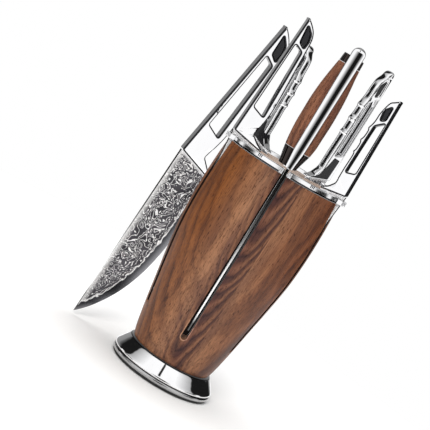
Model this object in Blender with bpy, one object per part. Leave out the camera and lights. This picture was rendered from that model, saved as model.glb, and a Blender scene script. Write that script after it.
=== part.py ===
"""A swivelling walnut knife block with five slotted knives, and a chef's knife standing beside it.

Lengths in this file are millimetres until solid() turns them into metres. +Z is up and the block's front
faces -Y. A knife is drawn in its own frame: x runs from the spine to the edge, y through the thickness and
z up the spine, with the origin where the spine meets the joint line between blade and handle."""

import math

import bmesh
import bpy
from mathutils import Matrix, Vector
from mathutils.geometry import tessellate_polygon

MM = 0.001
GAP = 0.3
SEGMENTS = 64
HIDDEN_SEGMENTS = 36
SHANK_SEGMENTS = 24
SCREW_SEGMENTS = 16
BALL_SEGMENTS = 10
BALL_BANDS = 6
SHARP_ANGLE = math.radians(32.0)

# Base, from the table up.
PAD_RADIUS = 45.6
PAD_TOP = 2.0
PLATE_RADIUS = 47.2
PLATE_TOP = 8.6
PLATE_RIM_TOP = 5.9
PLATE_STEP = 43.0
PLATE_BORE = 7.0
PLATE_BORE_TOP = 6.3
RACE_INNER = 22.0
RACE_OUTER = 30.0
RACE_THICKNESS = 2.2
GROOVE_DEPTH = 0.8
GROOVE_HALF = 1.9
BALL_RADIUS = 1.8
BALL_COUNT = 12
BALL_CIRCLE = 26.0
CAGE_HALF = 0.5
CAGE_INNER = 22.6
CAGE_OUTER = 29.4
SKIRT_BOTTOM = 6.3
SKIRT_STEP = 43.4
SKIRT_STEP_TOP = 9.0
SKIRT_FLOOR = 16.2
SKIRT_TOP = 19.5
SKIRT_BORE = 4.2
SKIRT_INNER_TOP = 34.6
SKIRT_SIDE = [
    (39.6, SKIRT_STEP_TOP),
    (SKIRT_STEP, SKIRT_STEP_TOP),
    (SKIRT_STEP, SKIRT_BOTTOM),
    (46.0, SKIRT_BOTTOM),
    (46.8, 6.8),
    (47.0, 7.6),
    (46.7, 8.5),
    (44.6, 11.4),
    (41.9, 15.1),
    (39.6, 18.2),
    (38.5, SKIRT_TOP),
]
BOLT_RADIUS = 3.0
BOLT_CLEARANCE = 3.3
BOLT_TOP = 28.0
BOLT_CHAMFER = 0.8
HEX_RADIUS = 5.8
HEX_TOP = 6.0
WASHER_RADIUS = 8.0
WASHER_THICKNESS = 1.2
NUT_HEIGHT = 5.0
OVERRUN = 1.0
SCREW_COUNT = 4
SCREW_CIRCLE = 15.0
SCREW_RADIUS = 1.7
SCREW_HOLE = 2.0
SCREW_HOLE_BOTTOM = 12.0
SCREW_TOP = 36.0
SCREW_POINT = 4.0
SCREW_HEAD = 3.4
SCREW_HEAD_HEIGHT = 2.0

# Wood body.
WOOD_BOTTOM = 19.8
WOOD_TOP = 203.7
POCKET_RADIUS = 10.0
POCKET_TOP = 31.0
WOOD_SIDE = [
    (36.3, WOOD_BOTTOM),
    (36.9, 20.6),
    (38.6, 27.2),
    (40.3, 35.3),
    (42.2, 45.6),
    (44.4, 58.8),
    (46.5, 72.1),
    (48.7, 85.4),
    (50.6, 97.7),
    (52.7, 112.0),
    (54.3, 126.3),
    (55.2, 142.7),
    (55.5, 160.0),
    (55.2, 177.4),
    (54.5, 191.7),
    (53.6, WOOD_TOP),
]

# Slots: angle round the block from the front, inner radius, width and lowest height.
KNIFE_SLOTS = (0.0, 72.0, -72.0, 140.0, -140.0)
SLOT_INNER = 21.0
SLOT_WIDTH = 4.6
SLOT_BOTTOM = 50.0
CHEF_SLOT = 180.0
CHEF_SLOT_INNER = 12.5
CHEF_SLOT_WIDTH = 5.0
CHEF_SLOT_BOTTOM = 15.0
SLOT_OUTER = 75.0
SLOT_CUT_TOP = 218.0
SLOT_END_STEPS = 6

# Metal cap and its wood inlay.
CAP_BOTTOM = 204.0
CAP_FLOOR = 204.8
CAP_TOP = 209.0
CAP_RADIUS = 54.1
RIM_INNER = 49.6
LUG_INNER = 51.5
LUG_OUTER = 59.5
LUG_SIDE = 3.4
LUG_INSET = 0.3
INLAY_RADIUS = 49.2
INLAY_BOTTOM = 205.1
INLAY_TOP = 205.9

# Knives.
LEAN = math.radians(5.0)
SPINE_AT_CAP = 57.0
JOINT_ABOVE_CAP = 3.4
FRONT_ABOVE_CAP = 1.6
SPINE_HALF = 1.2
EDGE_HALF = 0.15
TIP_WIDTH = 0.6
BLADE_STATIONS = 14
BLADE_FULLNESS = 3.8
BLADE_DROP = 0.88
GRIND_START = 0.72
GRIND_HALF = 0.62
DISTAL_TAPER = 0.55
FRAME_HALF = 4.0
FRAME_CHAMFER = 0.9
INLAY_HALF = 3.3
INLAY_CHAMFER = 0.4
CORNER_RADIUS = 1.3
CORNER_STEPS = 2
GUARD_TIP = 2.2
GUARD_SHOULDER = 4.2

# Handle length and depth factor, blade length and width, slope of the joint line across the blade, and the
# handle's kink towards the belly in degrees.
CHEF = {"handle": 136.0, "depth": 1.02, "blade": 169.0, "width": 42.5, "slope": 0.30, "kink": 7.5}
LEFT = {"handle": 109.0, "depth": 1.0, "blade": 150.0, "width": 30.0, "slope": 0.28, "kink": 8.0}
RIGHT = {"handle": 90.0, "depth": 1.05, "blade": 92.0, "width": 22.5, "slope": 0.28, "kink": 6.5}
BACK_LEFT = {"handle": 91.0, "depth": 1.05, "blade": 128.0, "width": 27.0, "slope": 0.28, "kink": 5.0}
BACK_RIGHT = {"handle": 108.0, "depth": 1.05, "blade": 142.0, "width": 28.0, "slope": 0.28, "kink": 5.0}
CHEF_SPINE = (-84.0, 21.5)
CHEF_TIP_HEIGHT = 3.0
CHEF_TURN = math.radians(28.0)
CHEF_LEAN = math.radians(2.5)

# Handle outlines as fractions of the handle length: (up from the joint, across from the spine).
PLAIN_BELLY = (
    (0.972, 0.048),
    (0.935, 0.088),
    (0.89, 0.112),
    (0.83, 0.124),
    (0.58, 0.148),
    (0.26, 0.176),
    (0.05, 0.156),
)
PLAIN_WINDOW = ((0.229, 0.030), (0.783, 0.026), (0.756, 0.096), (0.198, 0.134))
PLAIN_POMMEL = ((0.948, 0.026), (0.905, 0.078), (0.85, 0.096), (0.79, 0.094), (0.815, 0.046))
RIDGED_BELLY = (
    (0.945, 0.069),
    (0.86, 0.119),
    (0.765, 0.109),
    (0.70, 0.124),
    (0.645, 0.146),
    (0.59, 0.130),
    (0.555, 0.131),
    (0.515, 0.155),
    (0.47, 0.137),
    (0.435, 0.138),
    (0.40, 0.157),
    (0.34, 0.136),
    (0.21, 0.148),
    (0.07, 0.148),
)
RIDGED_WINDOW = ((0.229, 0.032), (0.752, 0.025), (0.69, 0.095), (0.45, 0.105), (0.203, 0.112))
RIDGED_POMMEL = ((0.914, 0.040), (0.858, 0.088), (0.762, 0.078), (0.785, 0.040))

# Front knife, with a steel core between two wood scales.
FRONT_BLADE = {"blade": 147.0, "width": 30.0, "slope": 0.09}
FRONT_KINK = math.radians(5.0)
CORE_SPINE = -0.6
CORE_BELLY = 24.0
CORE_SECTIONS = ((0.3, 3.2), (5.0, 3.5), (15.0, 4.5), (105.5, 5.5))
CORE_DOME_STEPS = 5
CORE_ARC_STEPS = 5
SCALE_CENTRE = 13.4
SCALE_ARC_STEPS = 8
SCALE_SECTIONS = (
    (16.0, 8.9, 3.2),
    (24.0, 9.6, 5.0),
    (34.0, 10.2, 6.8),
    (46.0, 10.6, 7.9),
    (58.0, 10.6, 8.2),
    (70.0, 10.4, 7.5),
    (80.0, 10.0, 6.1),
    (88.0, 9.6, 4.6),
    (94.3, 9.4, 3.3),
)
BOLSTER_SECTIONS = ((0.6, 8.0, 1.8), (5.0, 8.2, 2.0), (9.0, 8.6, 2.6), (15.7, 8.9, 3.1))
CAP_SECTIONS = ((94.6, 9.4, 3.2), (99.0, 9.0, 2.4), (102.0, 8.4, 1.6))
PIN_HEIGHTS = (34.0, 76.0)
PIN_RADIUS = 2.0
PIN_HALF = 11.4
PIN_HOLE = 2.3
PIN_HOLE_HALF = 20.0


def clear_scene():
    for obj in list(bpy.data.objects):
        bpy.data.objects.remove(obj, do_unlink=True)


def principled(name, colour, roughness, metallic):
    material = bpy.data.materials.new(name)
    material.use_nodes = True
    shader = material.node_tree.nodes["Principled BSDF"]
    shader.inputs["Base Color"].default_value = (*colour, 1.0)
    shader.inputs["Roughness"].default_value = roughness
    shader.inputs["Metallic"].default_value = metallic
    return material


def ring_shell(profile, segments=SEGMENTS):
    """Turns a closed (radius, height) outline about Z."""
    points = []
    rings = []
    for radius, height in profile:
        count = segments if radius > 0 else 1
        rings.append(range(len(points), len(points) + count))
        for step in range(count):
            angle = 2 * math.pi * step / count
            points.append(Vector((radius * math.cos(angle), radius * math.sin(angle), height)))
    faces = []
    for first, second in zip(rings, rings[1:] + rings[:1]):
        if len(first) == len(second) == 1:
            continue
        for step in range(segments):
            after = (step + 1) % segments
            loop = [first[step % len(first)], first[after % len(first)]]
            loop += [second[after % len(second)], second[step % len(second)]]
            faces.append(list(dict.fromkeys(loop)))
    return points, faces


def loft_shell(sections):
    """Joins closed sections that have the same number of points, and caps both ends."""
    count = len(sections[0])
    points = [Vector(point) for section in sections for point in section]
    faces = [list(range(count)), list(range(len(points) - count, len(points)))]
    for base in range(0, len(points) - count, count):
        for step in range(count):
            after = (step + 1) % count
            faces.append([base + step, base + after, base + count + after, base + count + step])
    return points, faces


def counterclockwise(outline):
    area = sum(a.cross(b) for a, b in zip(outline, outline[1:] + outline[:1]))
    return outline if area > 0 else outline[::-1]


def inset(outline, depth):
    """Moves each side of an outline to its left by depth, with mitred corners."""
    moved = []
    for index, here in enumerate(outline):
        before = (here - outline[index - 1]).normalized()
        after = (outline[(index + 1) % len(outline)] - here).normalized()
        side = Vector((-before.y, before.x))
        middle = (side + Vector((-after.y, after.x))).normalized()
        moved.append(here + middle * depth / max(middle.dot(side), 0.5))
    return moved


def rounded(outline, radius=CORNER_RADIUS, steps=CORNER_STEPS):
    """Replaces each corner with a short curve that starts radius away from it, or less on a short side."""
    smooth = []
    for index, here in enumerate(outline):
        before = outline[index - 1] - here
        after = outline[(index + 1) % len(outline)] - here
        start = here + before.normalized() * min(radius, before.length * 0.4)
        end = here + after.normalized() * min(radius, after.length * 0.4)
        for step in range(steps + 1):
            t = step / steps
            smooth.append(start * (1 - t) ** 2 + here * 2 * t * (1 - t) + end * t**2)
    return smooth


def plate_shell(outer, windows, half, chamfer):
    """A flat plate in the x-z plane with chamfered edges, cut through by the windows."""
    loops = [counterclockwise(outer)]
    loops += [counterclockwise(window)[::-1] for window in windows]
    points = []
    faces = []
    layers = ((-half, chamfer), (chamfer - half, 0.0), (half - chamfer, 0.0), (half, chamfer))
    size = sum(len(loop) for loop in loops)
    flat = [inset(loop, chamfer) for loop in loops]
    for depth, inward in layers:
        for loop in loops:
            points += [Vector((p.x, depth, p.y)) for p in inset(loop, inward)]
    for layer in range(len(layers) - 1):
        start = layer * size
        for loop in loops:
            count = len(loop)
            for step in range(count):
                a = start + step
                b = start + (step + 1) % count
                faces.append([a, b, b + size, a + size])
            start += count
    caps = tessellate_polygon([[Vector((p.x, p.y, 0.0)) for p in loop] for loop in flat])
    top = (len(layers) - 1) * size
    for triangle in caps:
        faces.append(list(triangle))
        faces.append([corner + top for corner in triangle])
    return points, faces


def moved(shell, matrix):
    points, faces = shell
    return [matrix @ point for point in points], faces


def around(shell, count, radius):
    """Copies of a shell spaced evenly on a circle about Z."""
    copies = []
    for step in range(count):
        turn = Matrix.Rotation(2 * math.pi * step / count + math.pi / count, 4, "Z")
        copies.append(moved(shell, turn @ Matrix.Translation((radius, 0.0, 0.0))))
    return copies


def solid(name, shells, material):
    points = []
    faces = []
    for shell_points, shell_faces in shells:
        base = len(points)
        points += [point * MM for point in shell_points]
        faces += [[base + corner for corner in face] for face in shell_faces]
    mesh = bpy.data.meshes.new(name)
    mesh.from_pydata(points, [], faces)
    work = bmesh.new()
    work.from_mesh(mesh)
    bmesh.ops.recalc_face_normals(work, faces=work.faces)
    work.to_mesh(mesh)
    work.free()
    if material:
        mesh.materials.append(material)
    mesh.shade_smooth()
    mesh.set_sharp_from_angle(angle=SHARP_ANGLE)
    obj = bpy.data.objects.new(name, mesh)
    bpy.context.scene.collection.objects.link(obj)
    return obj


def helper(name, shells):
    obj = solid(name, shells, None)
    obj.hide_render = True
    obj.display_type = "WIRE"
    return obj


def boolean(target, other, operation):
    modifier = target.modifiers.new(other.name, "BOOLEAN")
    modifier.operation = operation
    modifier.solver = "EXACT"
    modifier.object = other


def slot_shell(degrees, inner, width, bottom):
    """A radial slot with a half-round lower end, open at the top and to the outside."""
    half = width / 2
    section = [(half, SLOT_CUT_TOP), (-half, SLOT_CUT_TOP)]
    for step in range(SLOT_END_STEPS + 1):
        angle = math.pi + math.pi * step / SLOT_END_STEPS
        section.append((half * math.cos(angle), bottom + half + half * math.sin(angle)))
    shell = loft_shell([[(reach, y, z) for y, z in section] for reach in (inner, SLOT_OUTER)])
    return moved(shell, Matrix.Rotation(math.radians(degrees - 90.0), 4, "Z"))


def slot_cutter():
    shells = [slot_shell(angle, SLOT_INNER, SLOT_WIDTH, SLOT_BOTTOM) for angle in KNIFE_SLOTS]
    shells.append(slot_shell(CHEF_SLOT, CHEF_SLOT_INNER, CHEF_SLOT_WIDTH, CHEF_SLOT_BOTTOM))
    return helper("slot_cutter", shells)


def lug_shell(degrees, width):
    """The block that both lugs beside one slot are cut from."""
    half = width / 2 + LUG_SIDE
    outline = [
        (LUG_INNER, -half),
        (LUG_OUTER - 1.6, -half),
        (LUG_OUTER - 0.5, -half + 0.6),
        (LUG_OUTER, -half + 1.7),
        (LUG_OUTER, half - 1.7),
        (LUG_OUTER - 0.5, half - 0.6),
        (LUG_OUTER - 1.6, half),
        (LUG_INNER, half),
    ]
    heights = (CAP_BOTTOM + LUG_INSET, CAP_TOP - LUG_INSET)
    shell = loft_shell([[(x, y, z) for x, y in outline] for z in heights])
    return moved(shell, Matrix.Rotation(math.radians(degrees - 90.0), 4, "Z"))


def foot_pad(rubber):
    side = [(PAD_RADIUS - 0.5, 0.0), (PAD_RADIUS, 0.5), (PAD_RADIUS, PAD_TOP)]
    return solid("foot_pad", [ring_shell([(0.0, 0.0), *side, (0.0, PAD_TOP)])], rubber)


def foot_plate(dark_chrome):
    bottom = PAD_TOP + GAP
    side = [
        (PLATE_RADIUS - 1.6, bottom),
        (PLATE_RADIUS - 0.5, bottom + 0.5),
        (PLATE_RADIUS, bottom + 1.5),
        (PLATE_RADIUS - 0.1, bottom + 2.5),
        (PLATE_RADIUS - 1.1, PLATE_RIM_TOP),
        (PLATE_STEP, PLATE_RIM_TOP),
        (PLATE_STEP, PLATE_TOP),
    ]
    bore = [
        (BOLT_CLEARANCE, PLATE_TOP),
        (BOLT_CLEARANCE, PLATE_BORE_TOP),
        (PLATE_BORE, PLATE_BORE_TOP),
        (PLATE_BORE, bottom),
    ]
    return solid("foot_plate", [ring_shell(side + bore)], dark_chrome)


def race_profile(bottom, groove_up):
    """A flat washer with a V groove in its upper or lower face."""
    top = bottom + RACE_THICKNESS
    low = [(RACE_INNER, bottom), (RACE_OUTER, bottom)]
    high = [(RACE_OUTER, top), (RACE_INNER, top)]
    if groove_up:
        groove = [(BALL_CIRCLE + GROOVE_HALF, top), (BALL_CIRCLE, top - GROOVE_DEPTH)]
        groove.append((BALL_CIRCLE - GROOVE_HALF, top))
        return [*low, high[0], *groove, high[1]]
    groove = [(BALL_CIRCLE - GROOVE_HALF, bottom), (BALL_CIRCLE, bottom + GROOVE_DEPTH)]
    groove.append((BALL_CIRCLE + GROOVE_HALF, bottom))
    return [low[0], *groove, low[1], *high]


def lower_race(steel):
    return solid("lower_race", [ring_shell(race_profile(PLATE_TOP + GAP, True), HIDDEN_SEGMENTS)], steel)


def upper_race(steel):
    bottom = SKIRT_FLOOR - GAP - RACE_THICKNESS
    return solid("upper_race", [ring_shell(race_profile(bottom, False), HIDDEN_SEGMENTS)], steel)


def ball_cage(steel):
    """The thin cage of the thrust bearing with its balls in it."""
    middle = (PLATE_TOP + SKIRT_FLOOR) / 2
    profile = []
    for step in range(BALL_BANDS + 1):
        angle = math.pi * step / BALL_BANDS - math.pi / 2
        radius = BALL_RADIUS * math.cos(angle) if 0 < step < BALL_BANDS else 0.0
        profile.append((radius, middle + BALL_RADIUS * math.sin(angle)))
    low = middle - CAGE_HALF
    high = middle + CAGE_HALF
    section = [(CAGE_INNER, low), (CAGE_OUTER, low), (CAGE_OUTER, high), (CAGE_INNER, high)]
    ring = ring_shell(section, HIDDEN_SEGMENTS)
    cage = solid("ball_cage", [ring], steel)
    balls = around(ring_shell(profile, BALL_SEGMENTS), BALL_COUNT, BALL_CIRCLE)
    boolean(cage, helper("bearing_balls", balls), "UNION")
    return cage


def swivel_bolt(steel):
    bottom = PAD_TOP + 2 * GAP
    start = HEX_TOP - OVERRUN / 2
    head = ring_shell([(0.0, bottom), (HEX_RADIUS, bottom), (HEX_RADIUS, HEX_TOP), (0.0, HEX_TOP)], 6)
    side = [(BOLT_RADIUS, start), (BOLT_RADIUS, BOLT_TOP - BOLT_CHAMFER)]
    side.append((BOLT_RADIUS - BOLT_CHAMFER, BOLT_TOP))
    shank = ring_shell([(0.0, start), *side, (0.0, BOLT_TOP)], SHANK_SEGMENTS)
    bolt = solid("swivel_bolt", [head], steel)
    boolean(bolt, helper("swivel_shank", [shank]), "UNION")
    return bolt


def swivel_washer(steel):
    low = SKIRT_TOP + GAP
    high = low + WASHER_THICKNESS
    profile = [(BOLT_CLEARANCE, low), (WASHER_RADIUS, low), (WASHER_RADIUS, high), (BOLT_CLEARANCE, high)]
    return solid("swivel_washer", [ring_shell(profile, HIDDEN_SEGMENTS)], steel)


def swivel_nut(steel):
    low = SKIRT_TOP + 2 * GAP + WASHER_THICKNESS
    high = low + NUT_HEIGHT
    side = [(HEX_RADIUS, low), (HEX_RADIUS, high)]
    nut = solid("swivel_nut", [ring_shell([(0.0, low), *side, (0.0, high)], 6)], steel)
    low -= OVERRUN
    high += OVERRUN
    bore = [(0.0, low), (BOLT_CLEARANCE, low), (BOLT_CLEARANCE, high), (0.0, high)]
    boolean(nut, helper("swivel_nut_bore", [ring_shell(bore, SHANK_SEGMENTS)]), "DIFFERENCE")
    return nut


def base_skirt(chrome):
    inside = [(SKIRT_BORE, SKIRT_TOP), (SKIRT_BORE, SKIRT_FLOOR), (SKIRT_INNER_TOP, SKIRT_FLOOR)]
    skirt = solid("base_skirt", [ring_shell([*SKIRT_SIDE, *inside])], chrome)
    boolean(skirt, bpy.data.objects["screw_holes"], "DIFFERENCE")
    return skirt


def screw_holes():
    low = SCREW_HOLE_BOTTOM
    high = SCREW_TOP + OVERRUN
    shell = ring_shell([(0.0, low), (SCREW_HOLE, low), (SCREW_HOLE, high), (0.0, high)], SCREW_SEGMENTS)
    return helper("screw_holes", around(shell, SCREW_COUNT, SCREW_CIRCLE))


def base_screws(steel):
    under = SKIRT_FLOOR - GAP
    low = under - SCREW_HEAD_HEIGHT
    side = [
        (0.65 * SCREW_HEAD, low),
        (SCREW_HEAD, (low + under) / 2),
        (SCREW_HEAD, under),
        (SCREW_RADIUS, under),
        (SCREW_RADIUS, SCREW_TOP - SCREW_POINT),
    ]
    screw = ring_shell([(0.0, low), *side, (0.0, SCREW_TOP)], SCREW_SEGMENTS)
    for number, shell in enumerate(around(screw, SCREW_COUNT, SCREW_CIRCLE), 1):
        solid(f"base_screw_{number}", [shell], steel)


def block_body(walnut):
    pocket = [(0.0, POCKET_TOP), (POCKET_RADIUS, POCKET_TOP), (POCKET_RADIUS, WOOD_BOTTOM)]
    body = solid("block_body", [ring_shell([*pocket, *WOOD_SIDE, (0.0, WOOD_TOP)])], walnut)
    boolean(body, bpy.data.objects["slot_cutter"], "DIFFERENCE")
    boolean(body, bpy.data.objects["screw_holes"], "DIFFERENCE")
    return body


def top_cap(chrome):
    rim = [
        (CAP_RADIUS - 0.9, CAP_BOTTOM),
        (CAP_RADIUS - 0.2, CAP_BOTTOM + 0.5),
        (CAP_RADIUS, CAP_BOTTOM + 2.4),
        (CAP_RADIUS - 0.2, CAP_TOP - 0.8),
        (CAP_RADIUS - 0.9, CAP_TOP),
        (RIM_INNER + 0.9, CAP_TOP),
        (RIM_INNER + 0.2, CAP_TOP - 0.6),
        (RIM_INNER, CAP_TOP - 1.6),
        (RIM_INNER, CAP_FLOOR),
    ]
    cap = solid("top_cap", [ring_shell([(0.0, CAP_BOTTOM), *rim, (0.0, CAP_FLOOR)])], chrome)
    lugs = [lug_shell(angle, SLOT_WIDTH) for angle in KNIFE_SLOTS]
    lugs.append(lug_shell(CHEF_SLOT, CHEF_SLOT_WIDTH))
    boolean(cap, helper("lug_blocks", lugs), "UNION")
    boolean(cap, bpy.data.objects["slot_cutter"], "DIFFERENCE")
    return cap


def top_inlay(pale_walnut):
    side = [(INLAY_RADIUS, INLAY_BOTTOM), (INLAY_RADIUS, INLAY_TOP)]
    disc = ring_shell([(0.0, INLAY_BOTTOM), *side, (0.0, INLAY_TOP)])
    inlay = solid("top_inlay", [disc], pale_walnut)
    boolean(inlay, bpy.data.objects["slot_cutter"], "DIFFERENCE")
    return inlay


def slotted_frame(name, degrees, above_cap):
    """The empty that holds a knife in its slot, with its spine leaning out by LEAN."""
    angle = math.radians(degrees)
    outward = Vector((math.sin(angle), -math.cos(angle), 0.0))
    up = Vector((0.0, 0.0, 1.0))
    axis_z = up * math.cos(LEAN) + outward * math.sin(LEAN)
    axis_x = up * math.sin(LEAN) - outward * math.cos(LEAN)
    turn = Matrix((axis_x, axis_z.cross(axis_x), axis_z)).transposed()
    reach = SPINE_AT_CAP + above_cap * math.tan(LEAN)
    place = outward * reach + up * (CAP_TOP + above_cap)
    return knife_frame(name, turn, place)


def chef_frame(name):
    lean = Matrix.Rotation(CHEF_LEAN, 3, "Y")
    place = Vector((*CHEF_SPINE, CHEF_TIP_HEIGHT + GAP + CHEF["blade"]))
    return knife_frame(name, lean @ Matrix.Rotation(CHEF_TURN, 3, "Z"), place)


def knife_frame(name, turn, place):
    frame = bpy.data.objects.new(name, None)
    bpy.context.scene.collection.objects.link(frame)
    frame.rotation_euler = turn.to_euler()
    frame.location = place * MM
    return frame


def blade_shell(size):
    """A wedge-ground blade whose straight spine is at x = 0."""
    sections = []
    for step in range(BLADE_STATIONS + 1):
        along = math.sin(math.pi / 2 * step / BLADE_STATIONS)
        width = size["width"] * max(1.0 - along**BLADE_FULLNESS, 0.0) ** BLADE_DROP
        width = max(width, TIP_WIDTH)
        half = SPINE_HALF * (1.0 - DISTAL_TAPER * along)
        side = [(0.0, half), (GRIND_START * width, GRIND_HALF * half), (width, EDGE_HALF)]
        section = side + [(x, -y) for x, y in reversed(side)]
        drop = GAP + along * size["blade"]
        slope = size["slope"] * (1.0 - along)
        sections.append([(x, y, -drop - slope * x) for x, y in section])
    return loft_shell(sections)


def blade(name, size, steel, frame):
    obj = solid(name, [blade_shell(size)], steel)
    obj.parent = frame
    return obj


def handle_point(up, across, size):
    """A point of a handle outline in the knife's frame, turned by the kink towards the belly."""
    kink = math.radians(size["kink"])
    x = across * size["depth"] * size["handle"]
    z = up * size["handle"]
    return Vector((x * math.cos(kink) + z * math.sin(kink), z * math.cos(kink) - x * math.sin(kink)))


def skeleton_handle(name, size, belly, windows, chrome, frame):
    """An open frame handle: straight spine, shaped belly, and a guard that runs out along the joint line."""
    width = size["width"]
    slope = size["slope"]
    outline = [Vector((0.0, 0.0)), handle_point(1.0, 0.0, size)]
    outline += [handle_point(up, across, size) for up, across in belly]
    outline += [Vector((0.8 * width, GUARD_SHOULDER - 0.8 * slope * width))]
    outline += [Vector((width, GUARD_TIP - slope * width)), Vector((width, -slope * width))]
    cuts = [rounded([handle_point(up, across, size) for up, across in window]) for window in windows]
    obj = solid(name, [plate_shell(rounded(outline), cuts, FRAME_HALF, FRAME_CHAMFER)], chrome)
    obj.parent = frame
    return obj


def pommel_inlay(name, size, window, black, frame):
    hole = counterclockwise(rounded([handle_point(up, across, size) for up, across in window]))
    obj = solid(name, [plate_shell(inset(hole, GAP), [], INLAY_HALF, INLAY_CHAMFER)], black)
    obj.parent = frame
    return obj


def skeleton_knife(name, size, ridged, frame, materials):
    belly = RIDGED_BELLY if ridged else PLAIN_BELLY
    window = RIDGED_WINDOW if ridged else PLAIN_WINDOW
    pommel = RIDGED_POMMEL if ridged else PLAIN_POMMEL
    blade(name + "_blade", size, materials["blade"], frame)
    skeleton_handle(name + "_handle", size, belly, (window, pommel), materials["chrome"], frame)
    pommel_inlay(name + "_pommel_inlay", size, pommel, materials["black"], frame)


def core_section(height, half, shrink=0.0):
    """A slot-shaped section of the front knife's core."""
    section = []
    low = CORE_SPINE + shrink + half
    high = CORE_BELLY - shrink - half
    for centre, start in ((high, -math.pi / 2), (low, math.pi / 2)):
        for step in range(CORE_ARC_STEPS + 1):
            angle = start + math.pi * step / CORE_ARC_STEPS
            section.append((centre + half * math.cos(angle), half * math.sin(angle), height))
    return section


def core_half(height):
    """Half the core's thickness at a height."""
    for (low, first), (high, last) in zip(CORE_SECTIONS, CORE_SECTIONS[1:]):
        if height <= high:
            return first + (last - first) * (height - low) / (high - low)
    return CORE_SECTIONS[-1][1]


def core_shell():
    sections = [core_section(height, half) for height, half in CORE_SECTIONS]
    start, whole = CORE_SECTIONS[-1]
    for step in range(1, CORE_DOME_STEPS):
        angle = math.pi / 2 * step / CORE_DOME_STEPS
        half = whole * math.cos(angle)
        sections.append(core_section(start + whole * math.sin(angle), half, whole - half))
    return loft_shell(sections)


def pin_shell(height, radius, half):
    section = []
    for step in range(16):
        angle = math.pi * step / 8
        section.append((SCALE_CENTRE + radius * math.cos(angle), height + radius * math.sin(angle)))
    return loft_shell([[(x, y, z) for x, z in section] for y in (-half, half)])


def side_shell(sections, side):
    """A half-round cheek on one side of the core, from sections of height, half depth and bulge."""
    loops = []
    for height, depth, bulge in sections:
        flat = core_half(height) + GAP
        loop = []
        for step in range(SCALE_ARC_STEPS + 1):
            angle = math.pi * step / SCALE_ARC_STEPS
            out = flat + bulge * math.sin(angle) ** 0.8 + 0.5 * (0 < step < SCALE_ARC_STEPS)
            loop.append((SCALE_CENTRE - depth * math.cos(angle), side * out, height))
        loops.append(loop)
    return loft_shell(loops)


def in_kinked_frame(shell):
    return moved(shell, Matrix.Rotation(FRONT_KINK, 4, "Y"))


def front_knife(frame, materials):
    drills = [in_kinked_frame(pin_shell(z, PIN_HOLE, PIN_HOLE_HALF)) for z in PIN_HEIGHTS]
    holes = helper("pin_holes", drills)
    holes.parent = frame
    blade("front_knife_blade", FRONT_BLADE, materials["blade"], frame)
    core = solid("front_knife_core", [in_kinked_frame(core_shell())], materials["chrome"])
    cut = [core]
    for word, side in (("left", -1), ("right", 1)):
        shell = in_kinked_frame(side_shell(SCALE_SECTIONS, side))
        cut.append(solid("front_knife_scale_" + word, [shell], materials["walnut"]))
    for obj in cut:
        obj.parent = frame
        boolean(obj, holes, "DIFFERENCE")
    for word, side in (("left", -1), ("right", 1)):
        for name, sections in (("bolster_", BOLSTER_SECTIONS), ("end_cap_", CAP_SECTIONS)):
            shell = in_kinked_frame(side_shell(sections, side))
            solid("front_knife_" + name + word, [shell], materials["chrome"]).parent = frame
    for word, height in (("lower", PIN_HEIGHTS[0]), ("upper", PIN_HEIGHTS[1])):
        shell = in_kinked_frame(pin_shell(height, PIN_RADIUS, PIN_HALF))
        solid("front_knife_pin_" + word, [shell], materials["steel"]).parent = frame


def build():
    clear_scene()
    materials = {
        "rubber": principled("rubber", (0.02, 0.02, 0.02), 0.8, 0.0),
        "dark_chrome": principled("dark_chrome", (0.25, 0.25, 0.26), 0.15, 1.0),
        "chrome": principled("chrome", (0.85, 0.85, 0.86), 0.06, 1.0),
        "steel": principled("steel", (0.62, 0.62, 0.63), 0.3, 1.0),
        "blade": principled("blade_steel", (0.55, 0.55, 0.57), 0.28, 1.0),
        "walnut": principled("walnut", (0.22, 0.09, 0.04), 0.45, 0.0),
        "pale_walnut": principled("pale_walnut", (0.42, 0.27, 0.17), 0.5, 0.0),
        "black": principled("black_inlay", (0.03, 0.03, 0.035), 0.35, 0.0),
    }
    slot_cutter()
    screw_holes()
    foot_pad(materials["rubber"])
    foot_plate(materials["dark_chrome"])
    lower_race(materials["steel"])
    ball_cage(materials["steel"])
    upper_race(materials["steel"])
    swivel_bolt(materials["steel"])
    swivel_washer(materials["steel"])
    swivel_nut(materials["steel"])
    base_skirt(materials["chrome"])
    base_screws(materials["steel"])
    block_body(materials["walnut"])
    top_cap(materials["chrome"])
    top_inlay(materials["pale_walnut"])
    skeleton_knife("chef_knife", CHEF, False, chef_frame("chef_knife_frame"), materials)
    slotted = (
        ("left_knife", LEFT, False, -72.0),
        ("right_knife", RIGHT, True, 72.0),
        ("back_left_knife", BACK_LEFT, True, -140.0),
        ("back_right_knife", BACK_RIGHT, True, 140.0),
    )
    for name, size, ridged, degrees in slotted:
        frame = slotted_frame(name + "_frame", degrees, JOINT_ABOVE_CAP)
        skeleton_knife(name, size, ridged, frame, materials)
    front_knife(slotted_frame("front_knife_frame", 0.0, FRONT_ABOVE_CAP), materials)


build()
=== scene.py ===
"""The looks of a swivelling walnut knife block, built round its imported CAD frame.

Shapes are drawn in millimetres and turned into metres when a mesh is made. +Z is up, the block's front faces
-Y. A knife is drawn in its own frame: x from the spine to the edge, y through the thickness, z up the spine,
with the origin where the spine meets the joint line between blade and handle."""

import math

import bmesh
import bpy
from mathutils import Matrix, Vector
from mathutils.geometry import tessellate_polygon


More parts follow.
